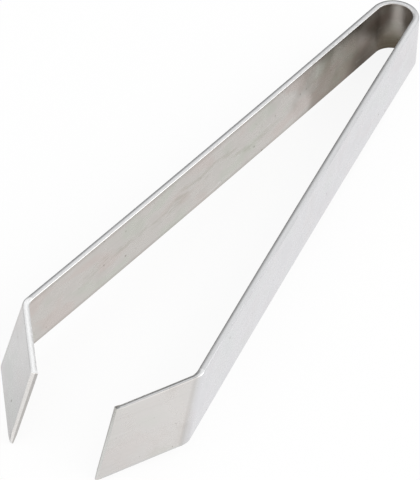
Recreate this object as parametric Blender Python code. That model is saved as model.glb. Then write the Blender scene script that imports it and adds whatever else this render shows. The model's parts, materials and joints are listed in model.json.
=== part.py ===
"""Fish bone tweezers, bent from one strip of stainless steel.

The strip makes a U-shaped spring bow, two long arms that stand apart, and a grip blade on each
arm: the end of the strip, folded inward on a slanted line and cut off on a slant, so that the
two cut edges meet along their whole length when the arms are squeezed together.

Sizes are in metres. The strip is laid out in its own frame: the origin is the centre of the
bow, +Y runs over the bow, -Y along the arms, +X to the right arm and +Z across the strip's
width. A last step stands the whole on its two blade corners and the rim of the bow, as it
rests on a table.
"""
import math

import bmesh
import bpy
from mathutils import Matrix, Vector

MM = 0.001

# The strip that everything is bent from
STRIP_WIDTH = 13.0 * MM
STRIP_THICKNESS = 1.5 * MM
EDGE_RADIUS = 0.3 * MM

# The bow, and the arms that leave it
BOW_INNER_RADIUS = 4.1 * MM
ARM_LENGTH = 127.0 * MM
ARM_SPLAY = math.radians(7.2)
ARM_SAG = 0.3 * MM

# The fold at the end of each arm, and the blade beyond it
FOLD_ANGLE = math.radians(54.0)
FOLD_SLANT = math.radians(30.0)
FOLD_INNER_RADIUS = 1.5 * MM
FLAT_BEFORE_FOLD = 3.0 * MM
BLADE_LENGTH = 18.5 * MM
BLADE_CORNER_RADIUS = 0.5 * MM

# The facet ground along the outer side of the blade's cut end
GRIND_RUN = 0.35 * MM
GRIND_DEPTH = 0.8 * MM

# Clearances: between neighbouring regions, and between the cut edges of the closed tweezers
SEAM_GAP = 0.3 * MM
CLOSED_GAP = 0.2 * MM

# How finely the round forms are cut
BOW_STEPS = 48
ARM_STEPS = 10
FOLD_STEPS = 12
EDGE_STEPS = 3
CORNER_STEPS = 4
SMOOTH_BELOW = math.radians(40.0)
LEAN_PRECISION = 1e-9

RIGHT = 1
LEFT = -1

# Sizes that follow from the ones above
HALF_WIDTH = STRIP_WIDTH / 2
HALF_THICKNESS = STRIP_THICKNESS / 2
BOW_RADIUS = BOW_INNER_RADIUS + HALF_THICKNESS
FOLD_RADIUS = FOLD_INNER_RADIUS + HALF_THICKNESS
HALF_FOLD = FOLD_RADIUS * FOLD_ANGLE / 2
CURVED_LENGTH = (
    ARM_LENGTH
    - FLAT_BEFORE_FOLD
    - HALF_FOLD / math.cos(FOLD_SLANT)
    - HALF_WIDTH * math.tan(FOLD_SLANT)
)
HALF_TURN = 4 * ARM_SAG / CURVED_LENGTH
SPLAY_AT_BOW = ARM_SPLAY - HALF_TURN
SPLAY_AT_FOLD = ARM_SPLAY + HALF_TURN


def heading(splay):
    """Direction along the right arm where it stands at this angle from the centre plane."""
    return Vector((math.sin(splay), -math.cos(splay), 0.0))


def outward(splay):
    """Direction out of the right arm's outer face at this angle."""
    return Vector((math.cos(splay), math.sin(splay), 0.0))


def bow_point(angle, height, depth):
    """Point of the bow: angle round it from +X, height across, depth out from mid-thickness."""
    radius = BOW_RADIUS + depth
    return Vector((radius * math.cos(angle), radius * math.sin(angle), height))


def arm_middle(along):
    """Middle line of the right arm, which bends inward by ARM_SAG between its ends."""
    curved = min(along, CURVED_LENGTH)
    half = HALF_TURN * curved / CURVED_LENGTH
    chord = curved * (math.sin(half) / half if half else 1.0)
    point = BOW_RADIUS * outward(SPLAY_AT_BOW) + chord * heading(SPLAY_AT_BOW + half)
    return point + (along - curved) * heading(SPLAY_AT_FOLD)


def arm_point(along, height, depth):
    """Point of the right arm before its fold."""
    curved = min(along, CURVED_LENGTH)
    splay = SPLAY_AT_BOW + 2 * HALF_TURN * curved / CURVED_LENGTH
    return arm_middle(along) + depth * outward(splay) + Vector((0.0, 0.0, height))


def fold_point(along, height, depth):
    """Point of the right arm at or beyond its fold, by its place on the flat strip.

    The fold is a cylinder whose axis lies across the strip at FOLD_SLANT. `past` is the
    distance on the flat strip beyond the middle of the fold, and `down` is the way along it.
    """
    run = heading(SPLAY_AT_FOLD)
    out = outward(SPLAY_AT_FOLD)
    up = Vector((0.0, 0.0, 1.0))
    across = math.cos(FOLD_SLANT) * run + math.sin(FOLD_SLANT) * up
    axis = math.sin(FOLD_SLANT) * run - math.cos(FOLD_SLANT) * up
    beyond = along - ARM_LENGTH
    past = beyond * math.cos(FOLD_SLANT) + height * math.sin(FOLD_SLANT)
    down = beyond * math.sin(FOLD_SLANT) - height * math.cos(FOLD_SLANT)
    bent = min(max((past + HALF_FOLD) / FOLD_RADIUS, 0.0), FOLD_ANGLE)
    straight = past + HALF_FOLD - bent * FOLD_RADIUS
    leading = math.cos(bent) * across - math.sin(bent) * out
    facing = math.cos(bent) * out + math.sin(bent) * across
    point = arm_middle(ARM_LENGTH) - HALF_FOLD * across + down * axis
    point += FOLD_RADIUS * (math.sin(bent) * across - (1 - math.cos(bent)) * out)
    return point + straight * leading + depth * facing


def hinge_point(side):
    """Where the arm leaves the bow, in the middle of the strip."""
    point = BOW_RADIUS * outward(SPLAY_AT_BOW)
    return Vector((side * point.x, point.y, point.z))


def closing_angle():
    """How far each arm turns at the bow until the two cut edges meet, less their clearance."""
    hinge = hinge_point(RIGHT)
    edge = fold_point(ARM_LENGTH + BLADE_LENGTH, 0.0, -HALF_THICKNESS) - hinge
    reach = math.hypot(edge.x, edge.y)
    return math.atan2(edge.x, -edge.y) - math.asin((CLOSED_GAP / 2 - hinge.x) / reach)


def cut_slant():
    """Slant of the blade's cut end that brings the two cut edges flush when the arms close."""
    splay = SPLAY_AT_FOLD - closing_angle()
    along_axis = math.sin(FOLD_SLANT) * math.sin(splay)
    along_blade = (
        math.sin(FOLD_ANGLE) * math.cos(splay)
        - math.cos(FOLD_ANGLE) * math.cos(FOLD_SLANT) * math.sin(splay)
    )
    return FOLD_SLANT + math.atan2(along_axis, along_blade)


def section(point):
    """The strip's four corners at one station: lower inner, lower outer, upper outer, upper inner."""
    inner, outer = -HALF_THICKNESS, HALF_THICKNESS
    corners = ((-HALF_WIDTH, inner), (-HALF_WIDTH, outer), (HALF_WIDTH, outer), (HALF_WIDTH, inner))
    return [point(height, depth) for height, depth in corners]


def bow_sections():
    """Stations round the bow, from the right arm's seam to the left arm's."""
    start = SPLAY_AT_BOW + SEAM_GAP / 2 / BOW_RADIUS
    sweep = math.pi - 2 * start
    sections = []
    for step in range(BOW_STEPS + 1):
        angle = start + sweep * step / BOW_STEPS
        sections.append(section(lambda height, depth: bow_point(angle, height, depth)))
    return sections


def arm_sections():
    """Stations down the arm: square across it at first, along the fold at its end."""
    start = SEAM_GAP / 2
    sections = []
    for step in range(ARM_STEPS + 1):
        along = start + (CURVED_LENGTH - start) * step / ARM_STEPS
        sections.append(section(lambda height, depth: arm_point(along, height, depth)))
    end = ARM_LENGTH - (HALF_FOLD + SEAM_GAP) / math.cos(FOLD_SLANT)
    sections.append(section(lambda height, depth: slanted_point(end, FOLD_SLANT, height, depth)))
    return sections


def slanted_point(along_middle, slant, height, depth):
    """Point on a line that crosses the strip on a slant and meets its middle at along_middle."""
    return fold_point(along_middle - height * math.tan(slant), height, depth)


def fold_sections():
    """Stations round the fold, each along the fold's own slanted line."""
    sections = []
    for step in range(FOLD_STEPS + 1):
        past = HALF_FOLD * (2 * step / FOLD_STEPS - 1)
        along = ARM_LENGTH + past / math.cos(FOLD_SLANT)
        sections.append(section(lambda height, depth: slanted_point(along, FOLD_SLANT, height, depth)))
    return sections


def rounded_corner(before, corner, after, radius):
    """Points on the arc that rounds the flat corner between two straight edges."""
    back = (before - corner).normalized()
    on = (after - corner).normalized()
    half = back.angle(on) / 2
    centre = corner + (back + on).normalized() * radius / math.sin(half)
    first = corner + back * radius / math.tan(half) - centre
    last = corner + on * radius / math.tan(half) - centre
    turns = [first.slerp(last, step / CORNER_STEPS) for step in range(CORNER_STEPS + 1)]
    return [centre + radius * turn for turn in turns]


def blade_outline(back):
    """The blade's flat outline round its cut end, as (along, height), from rim to rim.

    The cut end is moved back from its true place by `back`.
    """
    slant = cut_slant()
    middle = ARM_LENGTH + BLADE_LENGTH - back / math.cos(slant)
    lower_root = Vector((ARM_LENGTH, -HALF_WIDTH))
    lower = Vector((middle + HALF_WIDTH * math.tan(slant), -HALF_WIDTH))
    upper = Vector((middle - HALF_WIDTH * math.tan(slant), HALF_WIDTH))
    upper_root = Vector((ARM_LENGTH, HALF_WIDTH))
    outline = rounded_corner(lower_root, lower, upper, BLADE_CORNER_RADIUS)
    return outline + rounded_corner(lower, upper, upper_root, BLADE_CORNER_RADIUS)


def blade_rims():
    """The blade's end in three outlines: on its inner face, on the facet's foot, on its outer face."""
    layers = ((0.0, -HALF_THICKNESS), (0.0, HALF_THICKNESS - GRIND_DEPTH), (GRIND_RUN, HALF_THICKNESS))
    rims = []
    for back, depth in layers:
        rims.append([fold_point(along, height, depth) for along, height in blade_outline(back)])
    return rims


def strip_mesh(name, sections, side, origin, rims=()):
    """Closed body through the stations, on the right side or mirrored to the left.

    Given the three outlines of a blade's end, it runs on to them from the last station. The
    edges to be rounded carry a bevel weight.
    """
    mesh = bpy.data.meshes.new(name)
    form = bmesh.new()
    weight = form.edges.layers.float.new("bevel_weight_edge")

    def place(points):
        return [form.verts.new(Vector((side * p.x, p.y, p.z)) - origin) for p in points]

    def round_off(corners):
        for pair in zip(corners, corners[1:]):
            form.edges.get(pair)[weight] = 1.0

    rings = [place(corners) for corners in sections]
    for ring, following in zip(rings, rings[1:]):
        for number, corner in enumerate(ring):
            other = (number + 1) % len(ring)
            form.faces.new((corner, ring[other], following[other], following[number]))
    form.faces.new(rings[0])
    for edge_line in zip(*rings):
        round_off(edge_line)
    if rims:
        lower_inner, lower_outer, upper_outer, upper_inner = rings[-1]
        inner, facet_foot, outer = [place(points) for points in rims]
        form.faces.new((lower_inner, *inner, upper_inner))
        form.faces.new((lower_outer, *outer, upper_outer))
        form.faces.new((lower_inner, inner[0], facet_foot[0], outer[0], lower_outer))
        form.faces.new((upper_inner, inner[-1], facet_foot[-1], outer[-1], upper_outer))
        for low, high in ((inner, facet_foot), (facet_foot, outer)):
            for number in range(len(low) - 1):
                form.faces.new((low[number], low[number + 1], high[number + 1], high[number]))
        round_off((lower_inner, *inner, upper_inner))
        round_off((lower_outer, *outer, upper_outer))
    else:
        form.faces.new(rings[-1])
    bmesh.ops.recalc_face_normals(form, faces=form.faces)
    form.to_mesh(mesh)
    form.free()
    mesh.shade_smooth()
    mesh.set_sharp_from_angle(angle=SMOOTH_BELOW)
    return mesh


def steel(name, colour, roughness):
    """Satin stainless steel."""
    material = bpy.data.materials.new(name)
    material.use_nodes = True
    shader = material.node_tree.nodes["Principled BSDF"]
    shader.inputs["Base Color"].default_value = (*colour, 1.0)
    shader.inputs["Metallic"].default_value = 1.0
    shader.inputs["Roughness"].default_value = roughness
    return material


def new_empty(name, location, parent=None):
    """A frame that pieces hang from."""
    empty = bpy.data.objects.new(name, None)
    empty.empty_display_size = STRIP_WIDTH
    empty.location = location
    empty.parent = parent
    bpy.context.scene.collection.objects.link(empty)
    return empty


def new_piece(name, mesh, material, parent):
    """One region of the strip as an object, with its edges rounded."""
    piece = bpy.data.objects.new(name, mesh)
    mesh.materials.append(material)
    piece.parent = parent
    bpy.context.scene.collection.objects.link(piece)
    rounding = piece.modifiers.new("rounded_edges", "BEVEL")
    rounding.limit_method = "WEIGHT"
    rounding.width = EDGE_RADIUS
    rounding.segments = EDGE_STEPS
    return piece


def build_bow(frame):
    """The U-shaped spring at the top."""
    mesh = strip_mesh("spring_bow", bow_sections(), RIGHT, Vector())
    return new_piece("spring_bow", mesh, steel("bow_steel", (0.66, 0.65, 0.63), 0.34), frame)


def build_arm(name, side, hinge):
    """A long arm, whose origin is on the line at which it flexes against the bow."""
    mesh = strip_mesh(name, arm_sections(), side, hinge_point(side))
    return new_piece(name, mesh, steel(name + "_steel", (0.70, 0.69, 0.67), 0.36), hinge)


def build_blade(name, side, hinge):
    """The folded end of an arm, with its slanted cut edge."""
    mesh = strip_mesh(name, fold_sections(), side, hinge_point(side), blade_rims())
    return new_piece(name, mesh, steel(name + "_steel", (0.71, 0.70, 0.68), 0.33), hinge)


def world_points(pieces):
    """Every corner of the finished pieces, with their modifiers, in the scene's frame."""
    bpy.context.view_layer.update()
    graph = bpy.context.evaluated_depsgraph_get()
    points = []
    for piece in pieces:
        finished = piece.evaluated_get(graph)
        mesh = finished.to_mesh()
        points += [piece.matrix_world @ vertex.co for vertex in mesh.vertices]
        finished.to_mesh_clear()
    return points


def stand_on_table(frame, bow, blades):
    """Tilt and lift the frame so that both blades and the bow's rim touch z = 0.

    The folded blades reach lower than the strip's rim, so the strip leans by a small angle.
    """
    bow_points = world_points([bow])
    blade_points = world_points(blades)

    def lowest(points, tilt):
        return min(p.z * math.cos(tilt) + p.y * math.sin(tilt) for p in points)

    low, high = -math.pi / 4, math.pi / 4
    while high - low > LEAN_PRECISION:
        tilt = (low + high) / 2
        if lowest(blade_points, tilt) > lowest(bow_points, tilt):
            low = tilt
        else:
            high = tilt
    tilted = [Matrix.Rotation(tilt, 3, "X") @ point for point in bow_points + blade_points]
    lengths = [point.y for point in tilted]
    frame.rotation_euler = (tilt, 0.0, 0.0)
    frame.location = (0.0, -(min(lengths) + max(lengths)) / 2, -min(p.z for p in tilted))


def build():
    """Make the whole part in an empty scene."""
    for item in list(bpy.data.objects):
        bpy.data.objects.remove(item, do_unlink=True)
    frame = new_empty("resting_frame", (0.0, 0.0, 0.0))
    bow = build_bow(frame)
    blades = []
    for side, word in ((LEFT, "left"), (RIGHT, "right")):
        hinge = new_empty(word + "_hinge", hinge_point(side), frame)
        build_arm(word + "_arm", side, hinge)
        blades.append(build_blade(word + "_grip_blade", side, hinge))
    stand_on_table(frame, bow, blades)
    bpy.context.view_layer.update()
    print("each arm closes by", round(math.degrees(closing_angle()), 3), "degrees")
    print("the strip leans by", round(math.degrees(frame.rotation_euler.x), 3), "degrees")


build()
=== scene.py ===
"""Fish bone tweezers: the bent steel strip in five finished pieces, with its steel, floor, light and
camera."""
import json
import math

import bpy
from mathutils import Euler, Matrix, Vector


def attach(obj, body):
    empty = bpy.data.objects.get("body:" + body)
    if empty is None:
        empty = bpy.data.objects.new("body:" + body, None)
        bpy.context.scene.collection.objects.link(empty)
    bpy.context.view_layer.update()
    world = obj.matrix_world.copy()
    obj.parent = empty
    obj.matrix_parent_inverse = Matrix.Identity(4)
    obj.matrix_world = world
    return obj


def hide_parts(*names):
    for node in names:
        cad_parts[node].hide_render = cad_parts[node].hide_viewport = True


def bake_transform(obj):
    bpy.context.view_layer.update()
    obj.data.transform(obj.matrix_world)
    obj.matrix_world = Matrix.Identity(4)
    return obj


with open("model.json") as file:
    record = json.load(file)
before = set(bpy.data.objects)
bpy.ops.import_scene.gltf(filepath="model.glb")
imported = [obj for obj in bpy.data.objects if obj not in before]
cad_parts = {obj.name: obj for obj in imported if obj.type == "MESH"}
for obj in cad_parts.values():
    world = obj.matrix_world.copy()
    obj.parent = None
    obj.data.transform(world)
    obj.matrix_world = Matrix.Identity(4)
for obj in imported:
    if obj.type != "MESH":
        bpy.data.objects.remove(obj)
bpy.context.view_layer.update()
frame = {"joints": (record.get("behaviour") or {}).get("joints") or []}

MM = 0.001

# Driving dimensions, the same as the solids'
STRIP_WIDTH = 13.0 * MM
STRIP_THICKNESS = 1.5 * MM
BOW_INNER_RADIUS = 4.1 * MM
ARM_LENGTH = 127.0 * MM
ARM_SPLAY = math.radians(7.2)
ARM_SAG = 0.3 * MM
FOLD_ANGLE = math.radians(54)
FOLD_SLANT = math.radians(30)
FOLD_INNER_RADIUS = 1.5 * MM
FLAT_BEFORE_FOLD = 3.0 * MM
BLADE_LENGTH = 18.5 * MM
GRIND_DEPTH = 0.8 * MM
CLOSED_GAP = 0.2 * MM
SEAM_GAP = 0.3 * MM

# Edges and corners, finer than the solids'
INNER_EDGE_RADIUS = 0.25 * MM
OUTER_EDGE_RADIUS = 0.45 * MM
CROWN = math.radians(17)
CUT_EDGE_RADIUS = 0.06 * MM
BLADE_CORNER_RADIUS = 0.25 * MM

# The ground facet of the cut end: its run, that run at the corners, and the share of the cut that widens
GRIND_RUN = 0.26 * MM
CORNER_GRIND_RUN = 0.12 * MM
FACET_EASE = 0.25

# Ground away towards the blade's lower point: on the inner side, and on both sides of the last of it
POINT_GRIND = 0.35 * MM
POINT_RUN = 16.0 * MM
TIP_LEFT = 0.5
TIP_RUN = 2.2 * MM

# Where the rolled rim sharpens, where the rows turn to the fold's slant, and a run along the arm
CUT_EASE = 1.6 * MM
SLANT_RUN = 24.0 * MM
BLEND_RUN = 25.0 * MM

# How finely the meshes are divided
BOW_ROWS = 56
ARM_ROWS = 110
SLANT_ROWS = 24
FOLD_ROWS = 20
BLADE_ROWS = 16
EASE_ROWS = 4
CORNER_ROWS = 4
FACE_COLUMNS = 16
EDGE_STEPS = 5
CROWN_STEPS = 4

# Sizes that follow from the ones above
HALF_WIDTH = STRIP_WIDTH / 2
HALF_THICKNESS = STRIP_THICKNESS / 2
BOW_RADIUS = BOW_INNER_RADIUS + HALF_THICKNESS
FOLD_RADIUS = FOLD_INNER_RADIUS + HALF_THICKNESS
HALF_FOLD = FOLD_RADIUS * FOLD_ANGLE / 2
HALF_FOLD_RUN = HALF_FOLD / math.cos(FOLD_SLANT)
CURVED_LENGTH = ARM_LENGTH - FLAT_BEFORE_FOLD - HALF_FOLD_RUN - HALF_WIDTH * math.tan(FOLD_SLANT)
HALF_TURN = 4 * ARM_SAG / CURVED_LENGTH
SPLAY_AT_BOW = ARM_SPLAY - HALF_TURN
SPLAY_AT_FOLD = ARM_SPLAY + HALF_TURN
HALF_BOW = BOW_RADIUS * (math.pi / 2 - SPLAY_AT_BOW)
SEAM = ARM_LENGTH - (HALF_FOLD + SEAM_GAP / 2) / math.cos(FOLD_SLANT)
BLADE_END = ARM_LENGTH + BLADE_LENGTH
QUARTER = math.pi / 2
LEFT, RIGHT = -1, 1
INNER, OUTER = -1, 1


def direction(angle):
    return Vector((math.cos(angle), math.sin(angle)))


def spread(first, last, steps):
    return [first + (last - first) * step / steps for step in range(steps + 1)]


def smooth(share):
    share = min(max(share, 0), 1)
    return share * share * (3 - 2 * share)


# The bent strip: where a place on the flat strip goes, for the right half

def heading(splay):
    """Which way the arm runs where it stands at this angle from the centre plane."""
    return Vector((math.sin(splay), -math.cos(splay), 0))


def outward(splay):
    """Which way the arm's outer face points there."""
    return Vector((math.cos(splay), math.sin(splay), 0))


def turn_at(along):
    """How far the strip's outward side has turned from +X, on the bow and on the arm."""
    if along < 0:
        return SPLAY_AT_BOW - along / BOW_RADIUS
    return SPLAY_AT_BOW + 2 * HALF_TURN * min(along, CURVED_LENGTH) / CURVED_LENGTH


def arm_middle(along):
    """The middle line of the bow and of the arm, which is bowed inward between its ends."""
    if along < 0:
        return BOW_RADIUS * outward(turn_at(along))
    curved = min(along, CURVED_LENGTH)
    half = HALF_TURN * curved / CURVED_LENGTH
    chord = curved * (math.sin(half) / half if half else 1)
    start = BOW_RADIUS * outward(SPLAY_AT_BOW) + chord * heading(SPLAY_AT_BOW + half)
    return start + (along - curved) * heading(SPLAY_AT_FOLD)


def bent_place(along, height):
    """The middle surface at a place on the flat strip: its point, and which way the run, the height
    and the outer face point there."""
    up = Vector((0, 0, 1))
    if along < CURVED_LENGTH:
        turn = turn_at(along)
        return arm_middle(along) + height * up, heading(turn), up, outward(turn)
    run = heading(SPLAY_AT_FOLD)
    out = outward(SPLAY_AT_FOLD)
    slant_cos = math.cos(FOLD_SLANT)
    slant_sin = math.sin(FOLD_SLANT)
    across = slant_cos * run + slant_sin * up
    axis = slant_sin * run - slant_cos * up
    beyond = along - ARM_LENGTH
    past = beyond * slant_cos + height * slant_sin
    down = beyond * slant_sin - height * slant_cos
    bent = min(max((past + HALF_FOLD) / FOLD_RADIUS, 0), FOLD_ANGLE)
    straight = past + HALF_FOLD - bent * FOLD_RADIUS
    leading = math.cos(bent) * across - math.sin(bent) * out
    facing = math.cos(bent) * out + math.sin(bent) * across
    round_fold = FOLD_RADIUS * (math.sin(bent) * across - (1 - math.cos(bent)) * out)
    point = arm_middle(ARM_LENGTH) - HALF_FOLD * across + down * axis + round_fold + straight * leading
    blade_run = slant_cos * leading + slant_sin * axis
    blade_up = slant_sin * leading - slant_cos * axis
    return point, blade_run, blade_up, facing


def closing_angle():
    """How far an arm turns until the blades meet."""
    hinge = BOW_RADIUS * outward(SPLAY_AT_BOW)
    middle, _, _, facing = bent_place(BLADE_END, 0)
    edge = middle - HALF_THICKNESS * facing - hinge
    reach = math.hypot(edge.x, edge.y)
    return math.atan2(edge.x, -edge.y) - math.asin((CLOSED_GAP / 2 - hinge.x) / reach)


def cut_slant():
    """The slant of the blade's cut end, at which the two ends meet flush when the tweezers close."""
    splay = SPLAY_AT_FOLD - closing_angle()
    along_axis = math.sin(FOLD_SLANT) * math.sin(splay)
    along_blade = (
        math.sin(FOLD_ANGLE) * math.cos(splay)
        - math.cos(FOLD_ANGLE) * math.cos(FOLD_SLANT) * math.sin(splay)
    )
    return FOLD_SLANT + math.atan2(along_axis, along_blade)


def cut_reach():
    """How much further the cut runs, for each millimetre that the inner face is ground away, for the
    closed ends to stay flush."""
    _, run, _, facing = bent_place(BLADE_END, 0)
    closed = Matrix.Rotation(-closing_angle(), 3, "Z")
    return -(closed @ facing).x / (closed @ run).x


CUT_SLANT = cut_slant()
CUT_REACH = cut_reach()
POINT = Vector((BLADE_END + HALF_WIDTH * math.tan(CUT_SLANT), -HALF_WIDTH))


def ground_place(along, height, depth):
    """Where grinding leaves a place: how far along the flat strip, and how deep in its thickness. The
    blade's inner face is ground away towards its lower point, and the last of the point on both sides."""
    away = (Vector((along, height)) - POINT).length
    near = POINT_GRIND * smooth(1 - away / POINT_RUN)
    depth += near * (HALF_THICKNESS - depth) / STRIP_THICKNESS
    left = 1 - (1 - TIP_LEFT) * smooth(1 - away / TIP_RUN)
    return along + CUT_REACH * near, depth * left


def resting_frame():
    """The strip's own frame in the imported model: the hinges' axis says how it leans on the table, and
    their place says where it is."""
    right = next(joint for joint in frame["joints"] if joint["name"] == "right_arm_squeeze")
    axis = -Vector(right["axis"])
    lean = Matrix.Rotation(-math.atan2(axis.y, axis.z), 4, "X")
    hinge = lean @ (BOW_RADIUS * outward(SPLAY_AT_BOW))
    return Matrix.Translation(Vector(right["pos_m"]) - hinge) @ lean


RESTING = resting_frame()


# The strip's rim in section, and the blade's corners in plan

def round_corner(corner, radius, first, last, points):
    """Points round a corner between two straight sides, each with the angle that it faces."""
    centre = Vector(corner) - radius / math.cos((last - first) / 2) * direction((first + last) / 2)
    return [(centre + radius * direction(angle), angle) for angle in spread(first, last, points - 1)]


def rolled_rim():
    """The long edges: a small radius on the inner side, a crowned middle, and a large radius on the
    outer side."""
    corners = (INNER_EDGE_RADIUS + OUTER_EDGE_RADIUS) * (1 - math.sin(CROWN))
    crown_radius = (STRIP_THICKNESS - corners) / (2 * math.sin(CROWN))
    at = Vector((0, -HALF_THICKNESS))
    angle = -QUARTER
    rim = [(at, angle)]
    for radius, last, steps in (
        (INNER_EDGE_RADIUS, -CROWN, EDGE_STEPS),
        (crown_radius, CROWN, CROWN_STEPS),
        (OUTER_EDGE_RADIUS, QUARTER, EDGE_STEPS),
    ):
        for following in spread(angle, last, steps)[1:]:
            at = at + radius * (direction(following) - direction(angle))
            angle = following
            rim.append((at, angle))
    top = max(at.x for at, _ in rim)
    return [(at - Vector((top, 0)), angle) for at, angle in rim]


def cut_rim(grind_run):
    """The cut end: square to the inner face, with a ground facet on the outer side."""
    facet = math.atan2(grind_run, GRIND_DEPTH)
    inner = round_corner((0, -HALF_THICKNESS), CUT_EDGE_RADIUS, -QUARTER, 0, EDGE_STEPS + 1)
    start = round_corner((0, HALF_THICKNESS - GRIND_DEPTH), CUT_EDGE_RADIUS, 0, facet, CROWN_STEPS)
    end = round_corner((-grind_run, HALF_THICKNESS), CUT_EDGE_RADIUS, facet, QUARTER, EDGE_STEPS)
    return inner + start + end


ROLLED_RIM = rolled_rim()
CORNER_RIM = cut_rim(CORNER_GRIND_RUN)
CUT_RIM = cut_rim(GRIND_RUN)


def rim_section(place, facing, first, second, share):
    """The rim's points in (along, height, depth) and their normals, at a place on the outline which
    faces that way in plan. Its form goes from the first rim to the second as the share goes from 0 to 1."""
    side = direction(facing)
    section = []
    for (early, early_angle), (late, late_angle) in zip(first, second):
        out, depth = early.lerp(late, share)
        faces = direction(early_angle).lerp(direction(late_angle), share).normalized()
        at = Vector(place) + out * side
        section.append((Vector((at.x, at.y, depth)), Vector((*(faces.x * side), faces.y))))
    return section


def slanted(middle, slant):
    """Where a line across the strip on a slant meets its lower and upper edges."""
    lean = HALF_WIDTH * math.tan(slant)
    return middle + lean, middle - lean


def blade_corners():
    """The blade's two rounded corners in plan, from the lower edge round to the upper edge."""
    lower_end, upper_end = slanted(BLADE_END, CUT_SLANT)
    points = 2 * CORNER_ROWS + 1
    lower = round_corner((lower_end, -HALF_WIDTH), BLADE_CORNER_RADIUS, -QUARTER, CUT_SLANT, points)
    upper = round_corner((upper_end, HALF_WIDTH), BLADE_CORNER_RADIUS, CUT_SLANT, QUARTER, points)
    return lower, upper


class Sheet:
    """A stretch of the strip: its rows across the strip, its rims and, on a blade, its cut end, as a
    closed mesh in the flat strip's coordinates."""

    def __init__(self, rows, tip):
        self.points = []
        self.normals = []
        self.faces = []
        self.flat = []
        self.rows = len(rows) - 1
        lower = self.edge([low for low, _ in rows], -HALF_WIDTH, tip)
        upper = self.edge([high for _, high in rows], HALF_WIDTH, tip)
        end = []
        if tip:
            lower_corner, upper_corner = blade_corners()
            first = [rim_section(*at, CORNER_RIM, CORNER_RIM, 0) for at in lower_corner]
            last = [rim_section(*at, CORNER_RIM, CORNER_RIM, 0) for at in upper_corner]
            self.rows += CORNER_ROWS
            lower += first[1 : CORNER_ROWS + 1]
            upper += last[CORNER_ROWS:-1][::-1]
            columns = FACE_COLUMNS - 2 * CORNER_ROWS
            straight = self.cut_line(lower_corner[-1][0], upper_corner[0][0], columns)
            end = first[CORNER_ROWS:] + straight + last[: CORNER_ROWS + 1]
        self.build(lower, upper, end)

    @staticmethod
    def edge(places, height, tip):
        """One long edge, rolled, but sharp where it comes to a cut end."""
        facing = math.copysign(QUARTER, height)
        sections = []
        for along in places:
            sharp = smooth(1 - (places[-1] - along) / CUT_EASE) if tip else 0
            sections.append(rim_section((along, height), facing, ROLLED_RIM, CORNER_RIM, sharp))
        return sections

    @staticmethod
    def cut_line(first, last, steps):
        """The cut end between its corners, where the ground facet has its full width."""
        sections = []
        for step in range(1, steps):
            share = step / steps
            full = smooth(min(share, 1 - share) / FACET_EASE)
            sections.append(rim_section(first.lerp(last, share), CUT_SLANT, CORNER_RIM, CUT_RIM, full))
        return sections

    def add(self, point, normal):
        self.points.append(point)
        self.normals.append(normal)
        return len(self.points) - 1

    def face(self, corners, flat=False):
        self.faces.append(corners)
        self.flat.append(flat)

    def build(self, lower, upper, end):
        lower_rim = [[self.add(*at) for at in section] for section in lower]
        upper_rim = [[self.add(*at) for at in section] for section in upper]
        end_rim = [[self.add(*at) for at in section] for section in end[1:-1]]
        if end:
            end_rim = [lower_rim[-1]] + end_rim + [upper_rim[-1]]
        inner = self.grid(lower_rim, upper_rim, end_rim, 0, INNER)
        outer = self.grid(lower_rim, upper_rim, end_rim, -1, OUTER)
        for row in range(self.rows):
            for column in range(FACE_COLUMNS):
                square = [(row, column), (row + 1, column), (row + 1, column + 1), (row, column + 1)]
                self.face([inner[at][step] for at, step in square])
                self.face([outer[at][step] for at, step in reversed(square)])
        self.rim(lower_rim, 1)
        self.rim(upper_rim, -1)
        if end:
            self.rim(end_rim, 1)
        else:
            self.cap(inner[-1], outer[-1], lower_rim[-1], upper_rim[-1], -1)
        self.cap(inner[0], outer[0], lower_rim[0], upper_rim[0], 1)

    def grid(self, lower_rim, upper_rim, end_rim, border, side):
        """The points of one wide face, row by row. On a blade the last rows go straight on into the
        cut end."""
        normal = Vector((0, 0, side))
        easing = CORNER_ROWS + EASE_ROWS
        eased = self.rows - easing if end_rim else self.rows
        grid = []
        for row in range(self.rows + 1):
            if end_rim and row == self.rows:
                grid.append([section[border] for section in end_rim])
                continue
            start = min(row, eased)
            lower = self.points[lower_rim[start][border]]
            upper = self.points[upper_rim[start][border]]
            line = [lower_rim[row][border]]
            for column in range(1, FACE_COLUMNS):
                at = lower.lerp(upper, column / FACE_COLUMNS)
                if row > eased:
                    at = at.lerp(self.points[end_rim[column][border]], (row - eased) / easing)
                line.append(self.add(at, normal))
            grid.append(line + [upper_rim[row][border]])
        return grid

    def rim(self, sections, way):
        """The faces between neighbouring sections of a rim."""
        for place in range(len(sections) - 1):
            for step in range(len(ROLLED_RIM) - 1):
                square = [(place, step), (place, step + 1), (place + 1, step + 1), (place + 1, step)]
                self.face([sections[at][point] for at, point in square[::way]])

    def cap(self, inner, outer, lower, upper, way):
        """Closes an end of the strip: across its thickness, and over the section of each rim."""
        squares = [[inner[at], inner[at + 1], outer[at + 1], outer[at]] for at in range(FACE_COLUMNS)]
        for loop in (*squares, lower[::-1], upper):
            self.face(loop[::way], flat=True)


def half_rows(first, *stretches):
    """Rows across the strip, as (along at the lower edge, along at the upper edge): from the first
    pair through each further pair, with the number of rows to it."""
    rows = [first]
    for ends, steps in stretches:
        start = rows[-1]
        for step in range(1, steps + 1):
            share = step / steps
            rows.append(tuple(a + (b - a) * share for a, b in zip(start, ends)))
    return rows


def bow_rows():
    return half_rows((-2 * HALF_BOW, -2 * HALF_BOW), ((0, 0), BOW_ROWS))


def arm_rows():
    level = SEAM - SLANT_RUN
    return half_rows((0, 0), ((level, level), ARM_ROWS), (slanted(SEAM, FOLD_SLANT), SLANT_ROWS))


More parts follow.
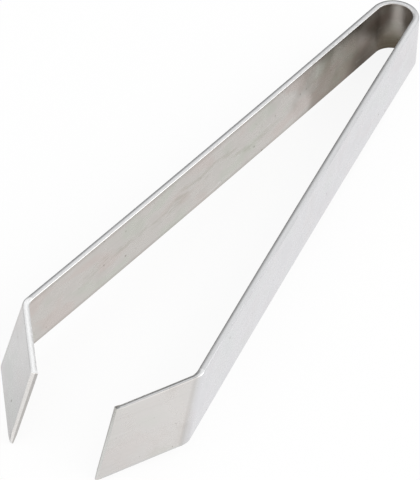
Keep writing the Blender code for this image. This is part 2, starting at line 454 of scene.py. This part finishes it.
def blade_rows():
    lower, upper = blade_corners()
    tangent = (lower[0][0].x, upper[-1][0].x)
    eased = tuple(along - CUT_EASE for along in tangent)
    return half_rows(
        slanted(SEAM, FOLD_SLANT),
        (slanted(ARM_LENGTH - HALF_FOLD_RUN, FOLD_SLANT), 1),
        (slanted(ARM_LENGTH + HALF_FOLD_RUN, FOLD_SLANT), FOLD_ROWS),
        (eased, BLADE_ROWS),
        (tangent, EASE_ROWS),
    )


STRIP_PLACE = "strip_place"


def build_mesh(name, sheet, side):
    """The sheet's mesh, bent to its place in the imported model. The left half is the mirror. Each point
    keeps its place on the flat strip, in millimetres from the middle of the bow, for the steel."""
    points = []
    normals = []
    places = []
    turn = RESTING.to_3x3()
    for (along, height, depth), normal in zip(sheet.points, sheet.normals):
        ground_along, ground_depth = ground_place(along, height, depth)
        middle, run, up, out = bent_place(ground_along, height)
        at = middle + ground_depth * out
        faces = normal.x * run + normal.y * up + normal.z * out
        at.x *= side
        faces.x *= side
        points.append(RESTING @ at)
        normals.append((turn @ faces).normalized())
        places.append((side * (along + HALF_BOW) / MM, height / MM, depth / MM))
    mesh = bpy.data.meshes.new(name)
    mesh.from_pydata(points, [], [face[::side] for face in sheet.faces])
    mesh.shade_smooth()
    corner_normals = []
    for polygon, flat in zip(mesh.polygons, sheet.flat):
        for vertex in polygon.vertices:
            corner_normals.append(polygon.normal if flat else normals[vertex])
    mesh.normals_split_custom_set(corner_normals)
    attribute = mesh.attributes.new(STRIP_PLACE, "FLOAT_VECTOR", "POINT")
    attribute.data.foreach_set("vector", [value for place in places for value in place])
    return mesh


def new_piece(name, rows, side, steel, tip=False):
    piece = bpy.data.objects.new(name, build_mesh(name, Sheet(rows, tip), side))
    piece.data.materials.append(steel)
    bpy.context.scene.collection.objects.link(piece)
    return piece


# Steel, in millimetres on the flat strip. A pair says where a change starts and where it is complete.

FACE_EDGE = HALF_WIDTH / MM - INNER_EDGE_RADIUS / MM
FOLD_MIDDLE = (HALF_BOW + ARM_LENGTH) / MM
CUT_END = FOLD_MIDDLE + BLADE_LENGTH / MM
CLOUD_SIZE = 6.5

INNER_SIDE = (0.1, -0.5)
OUTER_SIDE = (0.3, 0.6)
RIM = (FACE_EDGE - 0.05, FACE_EDGE + 0.2)
BORDER = (FACE_EDGE - 1.1, FACE_EDGE - 0.2)
# Where the rims turn darker towards the right arm: painted shade
SHADED_RIGHT_RIM = (6.0, 30.0)
LEFT_TO_RIGHT = (-1.0, 1.0)
ROUGH_BOW = (20.0, 8.0)

SMUDGE_START = (38.0, 52.0)
SMUDGE_END = (128.0, 100.0)
SMUDGE_WIDTH = (1.7, 0.4)
SMUDGE_WANDER = 2.2

# The brown film on the inner side, and the painted shade that goes with it towards and in the bow
FILM_AND_SHADE_END = (42.0, 26.0)
FILM_AND_SHADE_WANDER = 4.0
FILMED_AND_SHADED_BOW = (19.0, 12.0)
UP_THE_BOW = (-4.5, 5.5)
BOW_MIDDLE = (12.0, 6.0)
THICK_FILM_AND_SHADE_END = (21.0, 13.0)
PAST_BOW_MIDDLE = (3.0, 9.0)
LOWER_EDGE = (-0.5, -5.0)
DOWN_THE_BOW = (0.5, -5.5)
BESIDE_START = (6.0, 11.0)
BESIDE_END = (22.0, 14.0)
LOW_BESIDE = (2.0, -3.0)

PAST_FOLD = (-0.7, 0.8)
# Where the painted shade along the fold lies, and how wide it is
CREASE_PLACE = 0.85
CREASE_WIDTH = (0.6, 0.1)
FACET_RUN = (0.32, 0.18)
SHEARED_RUN = (0.16, 0.06)
FACET_DEPTH = (-0.1, -0.02)
SHEARED_DEPTH = (-0.02, -0.1)
# How far from the blade's point it is painted darker: painted shade
SHADED_POINT_RUN = (22.0, 0.0)

OUTER_STEEL = (0.718, 0.715, 0.735, 1)
INNER_STEEL = (0.585, 0.56, 0.535, 1)
BLADE_STEEL = (0.668, 0.662, 0.66, 1)
WORN_STEEL = (0.745, 0.745, 0.75, 1)
WORN_BLADE = (0.9, 0.9, 0.9, 1)
SCRATCHED = (0.82, 0.82, 0.82, 1)
# The ground facet's steel: grind marks, painted bright as a highlight
GROUND_STEEL_AND_HIGHLIGHT = (0.63, 0.63, 0.63, 1), (0.88, 0.88, 0.88, 1)
TORN_STEEL = (0.34, 0.33, 0.32, 1), (0.66, 0.65, 0.64, 1)
# The film's brown, which also darkens the steel as painted shade
BROWN_FILM_AND_SHADE = (0.44, 0.385, 0.34, 1), (0.42, 0.4, 0.35, 1)

GREEN_SHADE = (0.955, 1.0, 0.965, 1)
PINK_SHADE = (1.0, 0.955, 0.95, 1)
SMUDGE_SHADE = (0.86, 0.865, 0.83, 1)
CLOUD_SHADE = (0.88, 0.87, 0.86, 1)
STREAK_SHADE = (0.91, 0.905, 0.9, 1)
GRAIN_SHADE = (0.9, 0.9, 0.9, 1)
BORDER_SHADE = (0.86, 0.85, 0.84, 1)
SPECK_SHADE = (0.5, 0.47, 0.43, 1)
# The painted shade on the right arm's rims
RIGHT_RIM_PAINTED_SHADE = (0.86, 0.86, 0.86, 1)
# The film's darker shades: painted shade at the bow's sides, along its lower edge and beside the bow
THICK_FILM_AND_PAINTED_SHADE = (0.68, 0.63, 0.58, 1)
LOW_FILM_AND_PAINTED_SHADE = (0.62, 0.59, 0.56, 1)
BESIDE_BOW_FILM_AND_PAINTED_SHADE = (0.68, 0.62, 0.59, 1)
# The painted shade along the fold on the outer face
CREASE_PAINTED_SHADE = (0.92, 0.915, 0.91, 1)
# The painted shade at the blade's point
POINT_PAINTED_SHADE = (0.82, 0.82, 0.82, 1)
# The right blade's facet is painted darker, so its painted highlight is weaker
RIGHT_FACET_PAINTED_SHADE = (0.89, 0.89, 0.86, 1)


# Specks, in cells of their grid, and scratches, in the noise's own values
SPECK_RADIUS = (0.06, 0.16)
SPECK_EDGE = (1.0, 0.4)
SCRATCH_WIDTH = (0.006, 0.001)
SCRATCHES_KEPT = (0.52, 0.6)
SPECK_DARKNESS = 0.6
SCRATCH_BRIGHTNESS = 0.26

BUMP_STRENGTH = 0.14
BUMP_DISTANCE = 0.02 * MM

# The colour sockets of Blender's Mix node
MIX_SHARE, MIX_FIRST, MIX_SECOND = 0, 6, 7
MIXED = 2


class Nodes:
    """Adds nodes to a tree. A node's input is a plain value or another node's output."""

    def __init__(self, tree):
        self.tree = tree

    def add(self, kind, inputs, **settings):
        node = self.tree.nodes.new(kind)
        for name, value in settings.items():
            setattr(node, name, value)
        for key, value in inputs.items():
            if isinstance(value, bpy.types.NodeSocket):
                self.tree.links.new(value, node.inputs[key])
            else:
                node.inputs[key].default_value = value
        return node

    def math_node(self, operation, *values):
        return self.add("ShaderNodeMath", dict(enumerate(values)), operation=operation).outputs[0]

    def chain(self, operation, result, *others):
        for other in others:
            result = self.math_node(operation, result, other)
        return result

    def plus(self, *values):
        return self.chain("ADD", *values)

    def minus(self, *values):
        return self.chain("SUBTRACT", *values)

    def times(self, *values):
        return self.chain("MULTIPLY", *values)

    def larger(self, *values):
        return self.chain("MAXIMUM", *values)

    def unsigned(self, value):
        return self.math_node("ABSOLUTE", value)

    def ease(self, value, start, end, low=0.0, high=1.0):
        """Goes smoothly from low to high while the value goes from start to end."""
        inputs = {"Value": value, "From Min": start, "From Max": end, "To Min": low, "To Max": high}
        return self.add("ShaderNodeMapRange", inputs, interpolation_type="SMOOTHSTEP").outputs[0]

    def mix(self, share, first, second, blend="MIX"):
        inputs = {MIX_SHARE: share, MIX_FIRST: first, MIX_SECOND: second}
        return self.add("ShaderNodeMix", inputs, data_type="RGBA", blend_type=blend).outputs[MIXED]

    def shade(self, colour, share, shade):
        """The colour, multiplied by the shade to the share given."""
        return self.mix(share, colour, shade, "MULTIPLY")


class StripSteel(Nodes):
    """Tumbled stainless steel. Its patterns are laid out in millimetres on the flat strip: x along it
    from the middle of the bow, y across it, z through its thickness."""

    def __init__(self, name):
        self.material = bpy.data.materials.new(name)
        self.material.use_nodes = True
        super().__init__(self.material.node_tree)
        self.shader = self.tree.nodes["Principled BSDF"]
        self.place = self.add("ShaderNodeAttribute", {}, attribute_name=STRIP_PLACE).outputs["Vector"]
        self.to_right, self.height, self.depth = self.add("ShaderNodeSeparateXYZ", {0: self.place}).outputs
        self.along = self.unsigned(self.to_right)
        self.across = self.unsigned(self.height)
        self.inside = self.ease(self.depth, *INNER_SIDE)
        self.cloud = self.noise((1 / CLOUD_SIZE,) * 3, (3.1, 1.7, 0.4), 4.0, 0.55)
        self.grain = self.noise((1.3, 5.5, 5.5), (2.0, 0.0, 7.0), 4.0, 0.65)
        large_specks = self.speck_layer(0.42, 0.3, (1.3, 0.2, 0.7))
        small_specks = self.speck_layer(0.9, 0.22, (7.7, 3.1, 2.9))
        self.specks = self.larger(large_specks, small_specks)
        rising = self.scratch_layer(0.09, (1.0, 2.0, 3.0))
        falling = self.scratch_layer(-0.16, (11.0, 7.0, 5.0))
        self.scratches = self.larger(rising, falling)
        self.worn = self.times(self.ease(self.across, *RIM), self.ease(self.grain, 0.3, 0.55, 0.55, 1.0))

    def stretched(self, scale, shift=(0, 0, 0), turn=0.0):
        inputs = {"Vector": self.place, "Location": shift, "Rotation": (0, 0, turn), "Scale": scale}
        return self.add("ShaderNodeMapping", inputs).outputs[0]

    def noise(self, scale, shift=(0, 0, 0), detail=3.0, roughness=0.5, turn=0.0):
        """Noise between 0 and 1, with so many waves in each millimetre along, across and through."""
        inputs = {
            "Vector": self.stretched(scale, shift, turn),
            "Scale": 1.0,
            "Detail": detail,
            "Roughness": roughness,
        }
        return self.add("ShaderNodeTexNoise", inputs).outputs[0]

    def speck_layer(self, cells_per_mm, share, shift):
        """Small round marks, one in each of that share of the cells of a grid."""
        grid = self.stretched((cells_per_mm,) * 3, shift)
        cells = self.add("ShaderNodeTexVoronoi", {"Vector": grid, "Scale": 1.0})
        chosen = self.add("ShaderNodeSeparateColor", {0: cells.outputs["Color"]})
        some = self.ease(chosen.outputs[0], 1 - share, 1 - share + 0.01)
        radius = self.ease(chosen.outputs[1], 0, 1, *SPECK_RADIUS)
        near = self.math_node("DIVIDE", cells.outputs["Distance"], radius)
        return self.times(some, self.ease(near, *SPECK_EDGE))

    def scratch_layer(self, turn, shift):
        """Long thin scratches: the lines where a drawn-out noise crosses its middle value, kept here
        and there."""
        field = self.noise((0.045, 1.1, 1.1), shift, 0.0, 0.4, turn)
        line = self.ease(self.unsigned(self.minus(field, 0.5)), *SCRATCH_WIDTH)
        kept = self.ease(self.noise((0.07, 0.3, 0.3), shift, 2.0), *SCRATCHES_KEPT)
        return self.times(line, kept)

    def smudge(self):
        """A faint broken stain down the middle of each arm's inner side."""
        slow = self.noise((0.05, 0.05, 0.05), (2.0, 9.0, 6.0), 2.0)
        quick = self.noise((0.16, 0.9, 0.9), (8.0, 2.0, 4.0), 5.0, 0.65)
        wander = self.ease(slow, 0.3, 0.7, -SMUDGE_WANDER, SMUDGE_WANDER)
        off = self.unsigned(self.plus(self.height, wander))
        broken = self.ease(quick, 0.46, 0.6)
        stretch = self.times(self.ease(self.along, *SMUDGE_START), self.ease(self.along, *SMUDGE_END))
        return self.times(self.inside, stretch, broken, self.ease(off, *SMUDGE_WIDTH))

    def film_and_painted_shade(self):
        """The brown film on the inner side, and painted shade with it, from partway up each arm into the
        bow, in patches, as shares and shades. Its darkening stands in for the shade between the arms and
        inside the bow. It is thick and darkest at the bow's sides, along its lower edge and low beside it."""
        patches = self.noise((0.14, 0.14, 0.14), (4.0, 6.0, 3.0), 5.0, 0.6)
        hue = self.noise((0.13, 0.24, 0.24), (7.0, 1.0, 8.0), 3.0, 0.6)
        brown = self.mix(self.ease(hue, 0.38, 0.62), *BROWN_FILM_AND_SHADE)
        edge = self.plus(self.along, self.ease(patches, 0.25, 0.75, -FILM_AND_SHADE_WANDER, FILM_AND_SHADE_WANDER))
        in_bow = self.ease(self.along, *FILMED_AND_SHADED_BOW)
        high = self.times(in_bow, self.ease(self.height, *UP_THE_BOW))
        patchy = self.ease(patches, 0.3, 0.6, 0.82, 1.0)
        spared = self.minus(self.ease(self.along, *BOW_MIDDLE, 1.0, 0.88), self.times(high, 0.4))
        thin = self.times(self.inside, self.ease(edge, *FILM_AND_SHADE_END), patchy, spared)
        aside = self.larger(self.ease(edge, *PAST_BOW_MIDDLE), self.ease(self.height, *LOWER_EDGE))
        below = self.minus(1.0, high)
        thick = self.times(self.inside, self.ease(edge, *THICK_FILM_AND_SHADE_END), aside, below)
        low = self.times(self.inside, in_bow, self.ease(self.height, *DOWN_THE_BOW))
        beside = self.times(self.ease(self.along, *BESIDE_START), self.ease(self.along, *BESIDE_END))
        low_beside = self.times(self.inside, beside, self.ease(self.height, *LOW_BESIDE))
        # The film's darkening is painted shade, for the shade between the arms and inside the bow
        return (
            (thin, brown),
            (thick, THICK_FILM_AND_PAINTED_SHADE),
            (low, LOW_FILM_AND_PAINTED_SHADE),
            (low_beside, BESIDE_BOW_FILM_AND_PAINTED_SHADE),
        )

    def colour(self, outer_colour, worn_colour):
        """The sheet's colour, without the blade's ground end."""
        tint = self.noise((0.09, 0.16, 0.16), (9.0, 4.0, 2.0), 2.0)
        streak = self.noise((0.035, 1.4, 1.4), (0.0, 5.0, 1.0), 5.0, 0.6)
        stained = self.ease(self.inside, 0, 1, 0.35, 1.0)
        colour = self.mix(self.inside, outer_colour, INNER_STEEL)
        for share, shade in (
            (self.times(stained, self.ease(tint, 0.52, 0.66)), GREEN_SHADE),
            (self.times(stained, self.ease(tint, 0.48, 0.34)), PINK_SHADE),
            (self.smudge(), SMUDGE_SHADE),
            (self.ease(self.cloud, 0.52, 0.3, 0, 0.5), CLOUD_SHADE),
            (self.ease(streak, 0.5, 0.28, 0, 0.5), STREAK_SHADE),
            (self.ease(self.grain, 0.5, 0.25, 0, 0.4), GRAIN_SHADE),
            (self.times(self.inside, self.ease(self.across, *BORDER)), BORDER_SHADE),
            # The brown film, with painted shade in it
            *self.film_and_painted_shade(),
            (self.times(self.specks, SPECK_DARKNESS), SPECK_SHADE),
        ):
            colour = self.shade(colour, share, shade)
        colour = self.mix(self.times(self.scratches, SCRATCH_BRIGHTNESS), colour, SCRATCHED)
        # The rims are painted darker on the right arm: painted shade
        right_rim_shade = self.ease(self.to_right, *SHADED_RIGHT_RIM)
        return self.mix(self.worn, colour, self.shade(worn_colour, right_rim_shade, RIGHT_RIM_PAINTED_SHADE))

    def roughness(self):
        in_bow = self.times(self.inside, self.ease(self.along, *ROUGH_BOW))
        return self.plus(
            self.ease(self.cloud, 0.3, 0.7, 0.2, 0.34),
            self.ease(self.grain, 0.3, 0.7, -0.03, 0.05),
            self.times(self.specks, 0.2),
            self.times(self.worn, -0.07),
            self.times(in_bow, 0.14),
        )

    def relief(self):
        tumbled = self.noise((2.6, 2.6, 2.6), (5.0, 8.0, 1.0), 3.0, 0.6)
        return self.plus(
            self.times(tumbled, 0.5),
            self.times(self.grain, 0.5),
            self.times(self.specks, -1.6),
            self.times(self.scratches, -0.5),
        )

    def finish(self, colour, roughness, relief):
        inputs = {"Strength": BUMP_STRENGTH, "Distance": BUMP_DISTANCE, "Height": relief}
        bump = self.add("ShaderNodeBump", inputs)
        self.shader.inputs["Metallic"].default_value = 1.0
        self.tree.links.new(colour, self.shader.inputs["Base Color"])
        self.tree.links.new(roughness, self.shader.inputs["Roughness"])
        self.tree.links.new(bump.outputs[0], self.shader.inputs["Normal"])
        return self.material


def strip_steel(name):
    steel = StripSteel(name)
    return steel.finish(steel.colour(OUTER_STEEL, WORN_STEEL), steel.roughness(), steel.relief())


def blade_steel():
    """The strip's steel, warmer past the fold, darker at the blade's point and along the fold on the outer
    face, both painted shade. The cut end is torn on its inner side and ground on its outer side, where the
    facet is painted bright as a highlight over its grind marks, less so on the right blade."""
    steel = StripSteel("blade_steel")
    run = steel.times(steel.minus(steel.along, FOLD_MIDDLE), math.cos(FOLD_SLANT))
    past_fold = steel.plus(run, steel.times(steel.height, math.sin(FOLD_SLANT)))
    past_slant = steel.times(steel.height, math.tan(CUT_SLANT))
    to_cut = steel.times(steel.minus(CUT_END, steel.along, past_slant), math.cos(CUT_SLANT))
    from_point = steel.plus(to_cut, steel.plus(steel.height, HALF_WIDTH / MM))
    outside = steel.ease(steel.depth, *OUTER_SIDE)
    # Painted shade along the fold, on the outer face
    off_crease = steel.unsigned(steel.minus(past_fold, CREASE_PLACE))
    painted_crease_shade = steel.times(outside, steel.ease(off_crease, *CREASE_WIDTH))
    # Painted shade towards the blade's point on the outer face, less on the right blade
    point_shade_less_on_right = steel.ease(steel.to_right, *LEFT_TO_RIGHT, 1.0, 0.45)
    point = steel.times(outside, steel.ease(from_point, *SHADED_POINT_RUN), point_shade_less_on_right)
    # The ground facet: real grind marks, painted bright as a highlight, weaker on the right blade
    ground = steel.times(steel.ease(to_cut, *FACET_RUN), steel.ease(steel.depth, *FACET_DEPTH))
    right_facet_shade = steel.times(ground, steel.ease(steel.to_right, *LEFT_TO_RIGHT))
    sheared = steel.times(steel.ease(to_cut, *SHEARED_RUN), steel.ease(steel.depth, *SHEARED_DEPTH))
    marks = steel.noise((7.0, 7.0, 0.6), (1.0, 2.0, 0.5), 4.0, 0.7)
    torn = steel.noise((5.0, 5.0, 2.5), (3.0, 1.0, 4.5), 4.0, 0.7)

    flat_colour = steel.mix(steel.ease(past_fold, *PAST_FOLD), OUTER_STEEL, BLADE_STEEL)
    colour = steel.colour(flat_colour, WORN_BLADE)
    # Painted shade along the fold
    colour = steel.shade(colour, painted_crease_shade, CREASE_PAINTED_SHADE)
    # Painted shade at the blade's point
    colour = steel.shade(colour, point, POINT_PAINTED_SHADE)
    # The ground facet painted bright as a highlight, then darker on the right blade
    colour = steel.mix(ground, colour, steel.mix(marks, *GROUND_STEEL_AND_HIGHLIGHT))
    colour = steel.shade(colour, right_facet_shade, RIGHT_FACET_PAINTED_SHADE)
    colour = steel.mix(sheared, colour, steel.mix(torn, *TORN_STEEL))
    roughness = steel.plus(
        steel.roughness(),
        steel.times(ground, steel.ease(marks, 0.3, 0.7, -0.05, 0.1)),
        steel.times(sheared, 0.12),
    )
    relief = steel.plus(
        steel.relief(),
        steel.times(ground, marks, 2.0),
        steel.times(sheared, torn, 2.5),
    )
    return steel.finish(colour, roughness, relief)


# The five pieces

def world_point(side, along):
    middle, _, _, _ = bent_place(along, 0)
    middle.x *= side
    return RESTING @ middle


bow = new_piece("bow_strip", bow_rows(), RIGHT, strip_steel("bow_steel"))
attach(bow, "bow")
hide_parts("spring_bow")
arm_steel = strip_steel("arm_steel")
grip_steel = blade_steel()
for side, word in ((LEFT, "left"), (RIGHT, "right")):
    arm = new_piece(f"{word}_arm_strip", arm_rows(), side, arm_steel)
    world_point(side, 0)
    world_point(side, BLEND_RUN)
    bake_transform(arm)
    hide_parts(f"{word}_arm")
    blade = new_piece(f"{word}_blade_strip", blade_rows(), side, grip_steel, tip=True)
    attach(blade, f"{word}_side")
    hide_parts(f"{word}_grip_blade")


# Stage

FLOOR_WIDTH = 6
FLOOR_WHITE = 0.88
# The floor's colour near the object, and its painted shade far away
FLOOR_NEAR = (0.94, 0.94, 0.94, 1)
FLOOR_FAR = (0.42, 0.42, 0.43, 1)
FAR = (0.3, 1.3)

RISE = (0.1, 0.75)
RISING_LEVEL = (0.72, 1.08)
COOL_LIGHT = (0.99, 0.995, 1.0, 1)
WARM_LIGHT = (1.0, 0.965, 0.93, 1)

# Sides of the studio: which way, the cosines where its light starts and is complete, and how much
GREY_BEHIND = (-0.7, 0.7, 0.1), 0.7, 0.93, -0.52
GREY_OVERHEAD = (0.0, 0.0, 1.0), 0.8, 0.98, -0.35
PALE_RIGHT = (0.98, 0.1, 0.2), 0.45, 0.85, 0.32
PALE_FRONT = (0.3, -0.92, 0.25), 0.6, 0.95, 0.2
WARM_RIGHT = (0.88, -0.46, 0.1), 0.4, 0.92, 1.0

LAMP_PLACE = Vector((0.75, 0.4, 0.55))
LAMP_WIDTH = 0.7
LAMP_POWER = 1.6

LENS = 273.334
CAMERA_PLACE = Vector((270.112, -577.682, 511.173)) * MM
CAMERA_TURN = [math.radians(angle) for angle in (47.938, -1.479, 29.923)]
CLIP_END = 20


def build_floor():
    """A pale floor that is greyer far from the object, which is painted shade. Seen straight, or mirrored
    in the steel, the near part is mostly white of its own, so that it comes out as the white ground with
    the object's shadow kept in it."""
    bpy.ops.mesh.primitive_plane_add(size=FLOOR_WIDTH)
    floor = bpy.context.object
    floor.name = "floor"
    material = bpy.data.materials.new("pale_floor")
    material.use_nodes = True
    nodes = Nodes(material.node_tree)
    matt = nodes.tree.nodes["Principled BSDF"]
    matt.inputs["Roughness"].default_value = 1.0
    matt.inputs["Specular IOR Level"].default_value = 0.0
    place = nodes.add("ShaderNodeTexCoord", {}).outputs["Object"]
    away = nodes.add("ShaderNodeVectorMath", {0: place}, operation="LENGTH").outputs["Value"]
    far = nodes.ease(away, *FAR)
    nodes.tree.links.new(nodes.mix(far, FLOOR_NEAR, FLOOR_FAR), matt.inputs["Base Color"])
    white = nodes.add("ShaderNodeEmission", {"Color": (1, 1, 1, 1), "Strength": 1.0}).outputs[0]
    rays = nodes.add("ShaderNodeLightPath", {}).outputs
    seen = nodes.larger(rays["Is Camera Ray"], rays["Is Glossy Ray"], rays["Is Transmission Ray"])
    share = nodes.times(seen, nodes.ease(far, 0.0, 1.0, FLOOR_WHITE, 0.0))
    both = nodes.add("ShaderNodeMixShader", {0: share, 1: matt.outputs[0], 2: white}).outputs[0]
    nodes.tree.links.new(both, nodes.tree.nodes["Material Output"].inputs["Surface"])
    floor.data.materials.append(material)


def light_from(nodes, way, compass, start, complete, amount):
    """The light that a side of the studio adds in a direction, or takes away."""
    inputs = {0: way, 1: tuple(Vector(compass).normalized())}
    cosine = nodes.add("ShaderNodeVectorMath", inputs, operation="DOT_PRODUCT").outputs["Value"]
    return nodes.ease(cosine, start, complete, 0.0, amount)


def build_world():
    """A plain soft studio: pale above, on the right and in front, greyer straight overhead and round
    the horizon, and greyest behind on the left."""
    world = bpy.data.worlds.new("studio")
    world.use_nodes = True
    nodes = Nodes(world.node_tree)
    way = nodes.add("ShaderNodeTexCoord", {}).outputs["Generated"]
    up = nodes.add("ShaderNodeSeparateXYZ", {0: way}).outputs[2]
    level = nodes.ease(up, *RISE, *RISING_LEVEL)
    for side in (GREY_BEHIND, GREY_OVERHEAD, PALE_RIGHT, PALE_FRONT):
        level = nodes.plus(level, light_from(nodes, way, *side))
    colour = nodes.mix(light_from(nodes, way, *WARM_RIGHT), COOL_LIGHT, WARM_LIGHT)
    back = nodes.tree.nodes["Background"]
    nodes.tree.links.new(colour, back.inputs["Color"])
    nodes.tree.links.new(level, back.inputs["Strength"])
    bpy.context.scene.world = world


def build_lamp():
    data = bpy.data.lights.new("soft_box", "AREA")
    data.shape = "DISK"
    data.size = LAMP_WIDTH
    data.energy = LAMP_POWER
    lamp = bpy.data.objects.new("soft_box", data)
    turn = LAMP_PLACE.to_track_quat("Z", "Y").to_matrix().to_4x4()
    lamp.matrix_world = Matrix.Translation(LAMP_PLACE) @ turn
    bpy.context.scene.collection.objects.link(lamp)


def build_camera():
    data = bpy.data.cameras.new("camera")
    data.lens = LENS
    data.clip_end = CLIP_END
    camera = bpy.data.objects.new("camera", data)
    turn = Euler(CAMERA_TURN).to_matrix().to_4x4()
    camera.matrix_world = RESTING @ Matrix.Translation(CAMERA_PLACE) @ turn
    bpy.context.scene.collection.objects.link(camera)
    bpy.context.scene.camera = camera


build_floor()
build_world()
build_lamp()
build_camera()
bpy.context.scene.view_settings.view_transform = "Standard"
